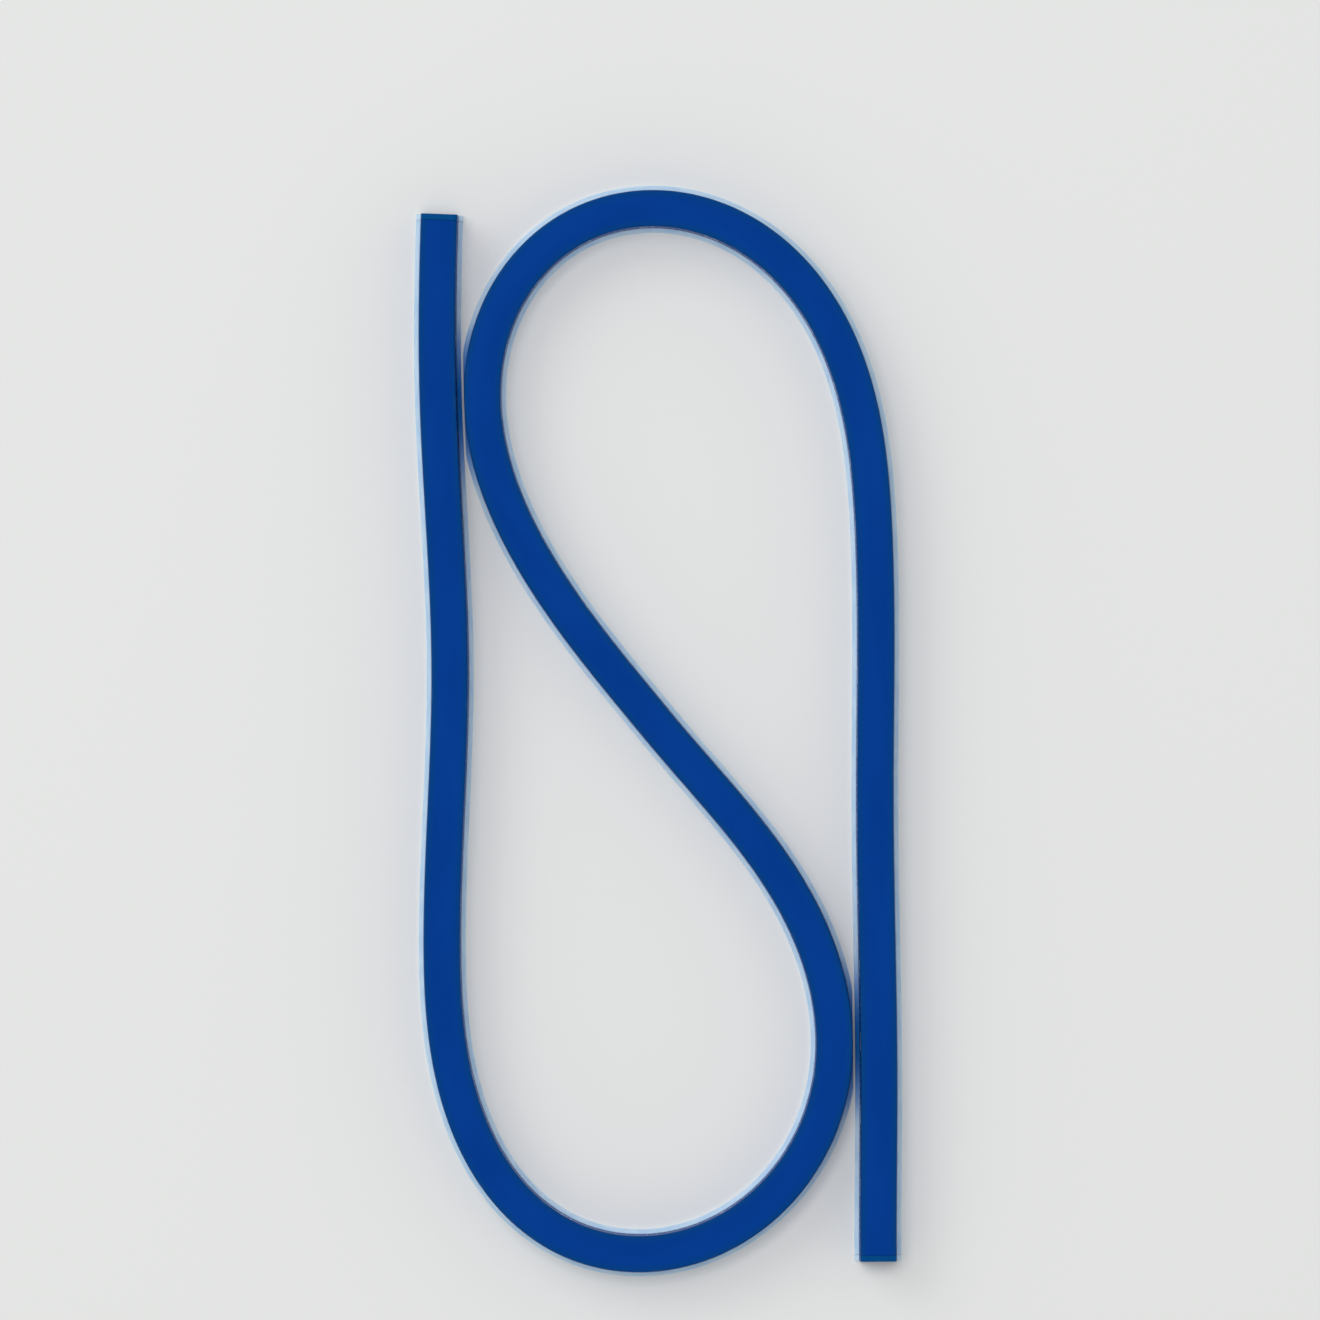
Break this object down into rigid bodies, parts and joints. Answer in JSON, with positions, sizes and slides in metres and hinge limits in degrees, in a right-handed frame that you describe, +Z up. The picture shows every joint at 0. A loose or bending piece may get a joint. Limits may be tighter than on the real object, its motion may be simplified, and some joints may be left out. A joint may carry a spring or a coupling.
{
  "type": "curve ruler",
  "caption": "Flexible curve ruler: soft sheath with thin ruling lips over a lead bar and two spring-steel strips, plugged at both ends. It bends flat to any curve and stays there.",
  "frame": {"origin": "below the middle of the S, on the plane that the ruler's base rests on", "axes": "+Z up out of the base; +Y along the S, from the right strand's end towards the left strand's end; +X from the left strand to the right strand"},
  "size_m": [0.0668, 0.1491, 0.008],
  "materials": {
    "sheath": "satin",
    "plug": "satin",
    "core": "matte",
    "strip": "satin"
  },
  "bodies": {
    "link_01": {"sheath_link_01": "sheath", "core_link_01": "core", "end_plug_left": "plug"},
    "link_02": {"sheath_link_02": "sheath", "core_link_02": "core"},
    "link_03": {"sheath_link_03": "sheath", "core_link_03": "core"},
    "link_04": {"sheath_link_04": "sheath", "core_link_04": "core"},
    "link_05": {"sheath_link_05": "sheath", "core_link_05": "core"},
    "link_06": {"sheath_link_06": "sheath", "core_link_06": "core"},
    "link_07": {"sheath_link_07": "sheath", "core_link_07": "core"},
    "link_08": {"sheath_link_08": "sheath", "core_link_08": "core"},
    "link_09": {"sheath_link_09": "sheath", "core_link_09": "core"},
    "link_10": {"sheath_link_10": "sheath", "core_link_10": "core"},
    "link_11": {"sheath_link_11": "sheath", "core_link_11": "core"},
    "link_12": {"sheath_link_12": "sheath", "core_link_12": "core"},
    "link_13": {"sheath_link_13": "sheath", "core_link_13": "core"},
    "link_14": {"sheath_link_14": "sheath", "core_link_14": "core", "steel_strip_left": "strip", "steel_strip_right": "strip"},
    "link_15": {"sheath_link_15": "sheath", "core_link_15": "core"},
    "link_16": {"sheath_link_16": "sheath", "core_link_16": "core"},
    "link_17": {"sheath_link_17": "sheath", "core_link_17": "core"},
    "link_18": {"sheath_link_18": "sheath", "core_link_18": "core"},
    "link_19": {"sheath_link_19": "sheath", "core_link_19": "core"},
    "link_20": {"sheath_link_20": "sheath", "core_link_20": "core"},
    "link_21": {"sheath_link_21": "sheath", "core_link_21": "core"},
    "link_22": {"sheath_link_22": "sheath", "core_link_22": "core"},
    "link_23": {"sheath_link_23": "sheath", "core_link_23": "core"},
    "link_24": {"sheath_link_24": "sheath", "core_link_24": "core"},
    "link_25": {"sheath_link_25": "sheath", "core_link_25": "core"},
    "link_26": {"sheath_link_26": "sheath", "core_link_26": "core"},
    "link_27": {"sheath_link_27": "sheath", "core_link_27": "core", "end_plug_right": "plug"}
  },
  "joints": [
    {"name": "bend_01", "type": "hinge", "parent": "link_02", "child": "link_01", "pos_m": [-0.02975, 0.03861, 0.004], "axis": [0, 0, -1], "range_deg": [-25, 0]},
    {"name": "bend_02", "type": "hinge", "parent": "link_03", "child": "link_02", "pos_m": [-0.02841, 0.0061, 0.004], "axis": [0, 0, -1], "range_deg": [-25, 0]},
    {"name": "bend_03", "type": "hinge", "parent": "link_04", "child": "link_03", "pos_m": [-0.02948, -0.02653, 0.004], "axis": [0, 0, 1], "range_deg": [0, 6.56]},
    {"name": "bend_04", "type": "hinge", "parent": "link_05", "child": "link_04", "pos_m": [-0.02763, -0.04809, 0.004], "axis": [0, 0, 1], "range_deg": [0, 19.38]},
    {"name": "bend_05", "type": "hinge", "parent": "link_06", "child": "link_05", "pos_m": [-0.02193, -0.06099, 0.004], "axis": [0, 0, 1], "range_deg": [0, 23.6]},
    {"name": "bend_06", "type": "hinge", "parent": "link_07", "child": "link_06", "pos_m": [-0.01392, -0.06839, 0.004], "axis": [0, 0, 1], "range_deg": [0, 26.19]},
    {"name": "bend_07", "type": "hinge", "parent": "link_08", "child": "link_07", "pos_m": [-0.00437, -0.0713, 0.004], "axis": [0, 0, 1], "range_deg": [0, 25.27]},
    {"name": "bend_08", "type": "hinge", "parent": "link_09", "child": "link_08", "pos_m": [0.00612, -0.06976, 0.004], "axis": [0, 0, 1], "range_deg": [0, 24.53]},
    {"name": "bend_09", "type": "hinge", "parent": "link_10", "child": "link_09", "pos_m": [0.01562, -0.06362, 0.004], "axis": [0, 0, 1], "range_deg": [0, 23.98]},
    {"name": "bend_10", "type": "hinge", "parent": "link_11", "child": "link_10", "pos_m": [0.02205, -0.05375, 0.004], "axis": [0, 0, 1], "range_deg": [0, 23.71]},
    {"name": "bend_11", "type": "hinge", "parent": "link_12", "child": "link_11", "pos_m": [0.02408, -0.04154, 0.004], "axis": [0, 0, 1], "range_deg": [0, 22.78]},
    {"name": "bend_12", "type": "hinge", "parent": "link_13", "child": "link_12", "pos_m": [0.02082, -0.02754, 0.004], "axis": [0, 0, 1], "range_deg": [0, 20.36], "deforming": ["steel_strip_left", "steel_strip_right"]},
    {"name": "bend_13", "type": "hinge", "parent": "link_14", "child": "link_13", "pos_m": [0.01016, -0.01114, 0.004], "axis": [0, 0, 1], "range_deg": [0, 5.73]},
    {"name": "bend_14", "type": "hinge", "parent": "link_14", "child": "link_15", "pos_m": [-0.00977, 0.0128, 0.004], "axis": [0, 0, 1], "range_deg": [0, 7.7]},
    {"name": "bend_15", "type": "hinge", "parent": "link_15", "child": "link_16", "pos_m": [-0.02063, 0.03071, 0.004], "axis": [0, 0, 1], "range_deg": [0, 17.97]},
    {"name": "bend_16", "type": "hinge", "parent": "link_16", "child": "link_17", "pos_m": [-0.02395, 0.04457, 0.004], "axis": [0, 0, 1], "range_deg": [0, 22.29]},
    {"name": "bend_17", "type": "hinge", "parent": "link_17", "child": "link_18", "pos_m": [-0.02224, 0.0559, 0.004], "axis": [0, 0, 1], "range_deg": [0, 23.57]},
    {"name": "bend_18", "type": "hinge", "parent": "link_18", "child": "link_19", "pos_m": [-0.01677, 0.06461, 0.004], "axis": [0, 0, 1], "range_deg": [0, 24.43]},
    {"name": "bend_19", "type": "hinge", "parent": "link_19", "child": "link_20", "pos_m": [-0.00885, 0.06985, 0.004], "axis": [0, 0, 1], "range_deg": [0, 25.06]},
    {"name": "bend_20", "type": "hinge", "parent": "link_20", "child": "link_21", "pos_m": [0.00073, 0.07129, 0.004], "axis": [0, 0, 1], "range_deg": [0, 24.21]},
    {"name": "bend_21", "type": "hinge", "parent": "link_21", "child": "link_22", "pos_m": [0.01069, 0.06851, 0.004], "axis": [0, 0, 1], "range_deg": [0, 23.74]},
    {"name": "bend_22", "type": "hinge", "parent": "link_22", "child": "link_23", "pos_m": [0.01952, 0.06131, 0.004], "axis": [0, 0, 1], "range_deg": [0, 22.23]},
    {"name": "bend_23", "type": "hinge", "parent": "link_23", "child": "link_24", "pos_m": [0.02608, 0.04929, 0.004], "axis": [0, 0, 1], "range_deg": [0, 19.47]},
    {"name": "bend_24", "type": "hinge", "parent": "link_24", "child": "link_25", "pos_m": [0.02936, 0.0299, 0.004], "axis": [0, 0, 1], "range_deg": [0, 8.7]},
    {"name": "bend_25", "type": "hinge", "parent": "link_25", "child": "link_26", "pos_m": [0.02969, -0.00282, 0.004], "axis": [0, 0, -1], "range_deg": [-25, 0]},
    {"name": "bend_26", "type": "hinge", "parent": "link_26", "child": "link_27", "pos_m": [0.03009, -0.03789, 0.004], "axis": [0, 0, -1], "range_deg": [-25, 0]}
  ],
  "couplings": [
    {"joint": "bend_11", "follows": "bend_12", "ratio": 1.1184},
    {"joint": "bend_13", "follows": "bend_12", "ratio": 0.2809},
    {"joint": "bend_14", "follows": "bend_12", "ratio": 0.3777},
    {"joint": "bend_15", "follows": "bend_12", "ratio": 0.8821},
    {"joint": "bend_16", "follows": "bend_12", "ratio": 1.0943}
  ]
}
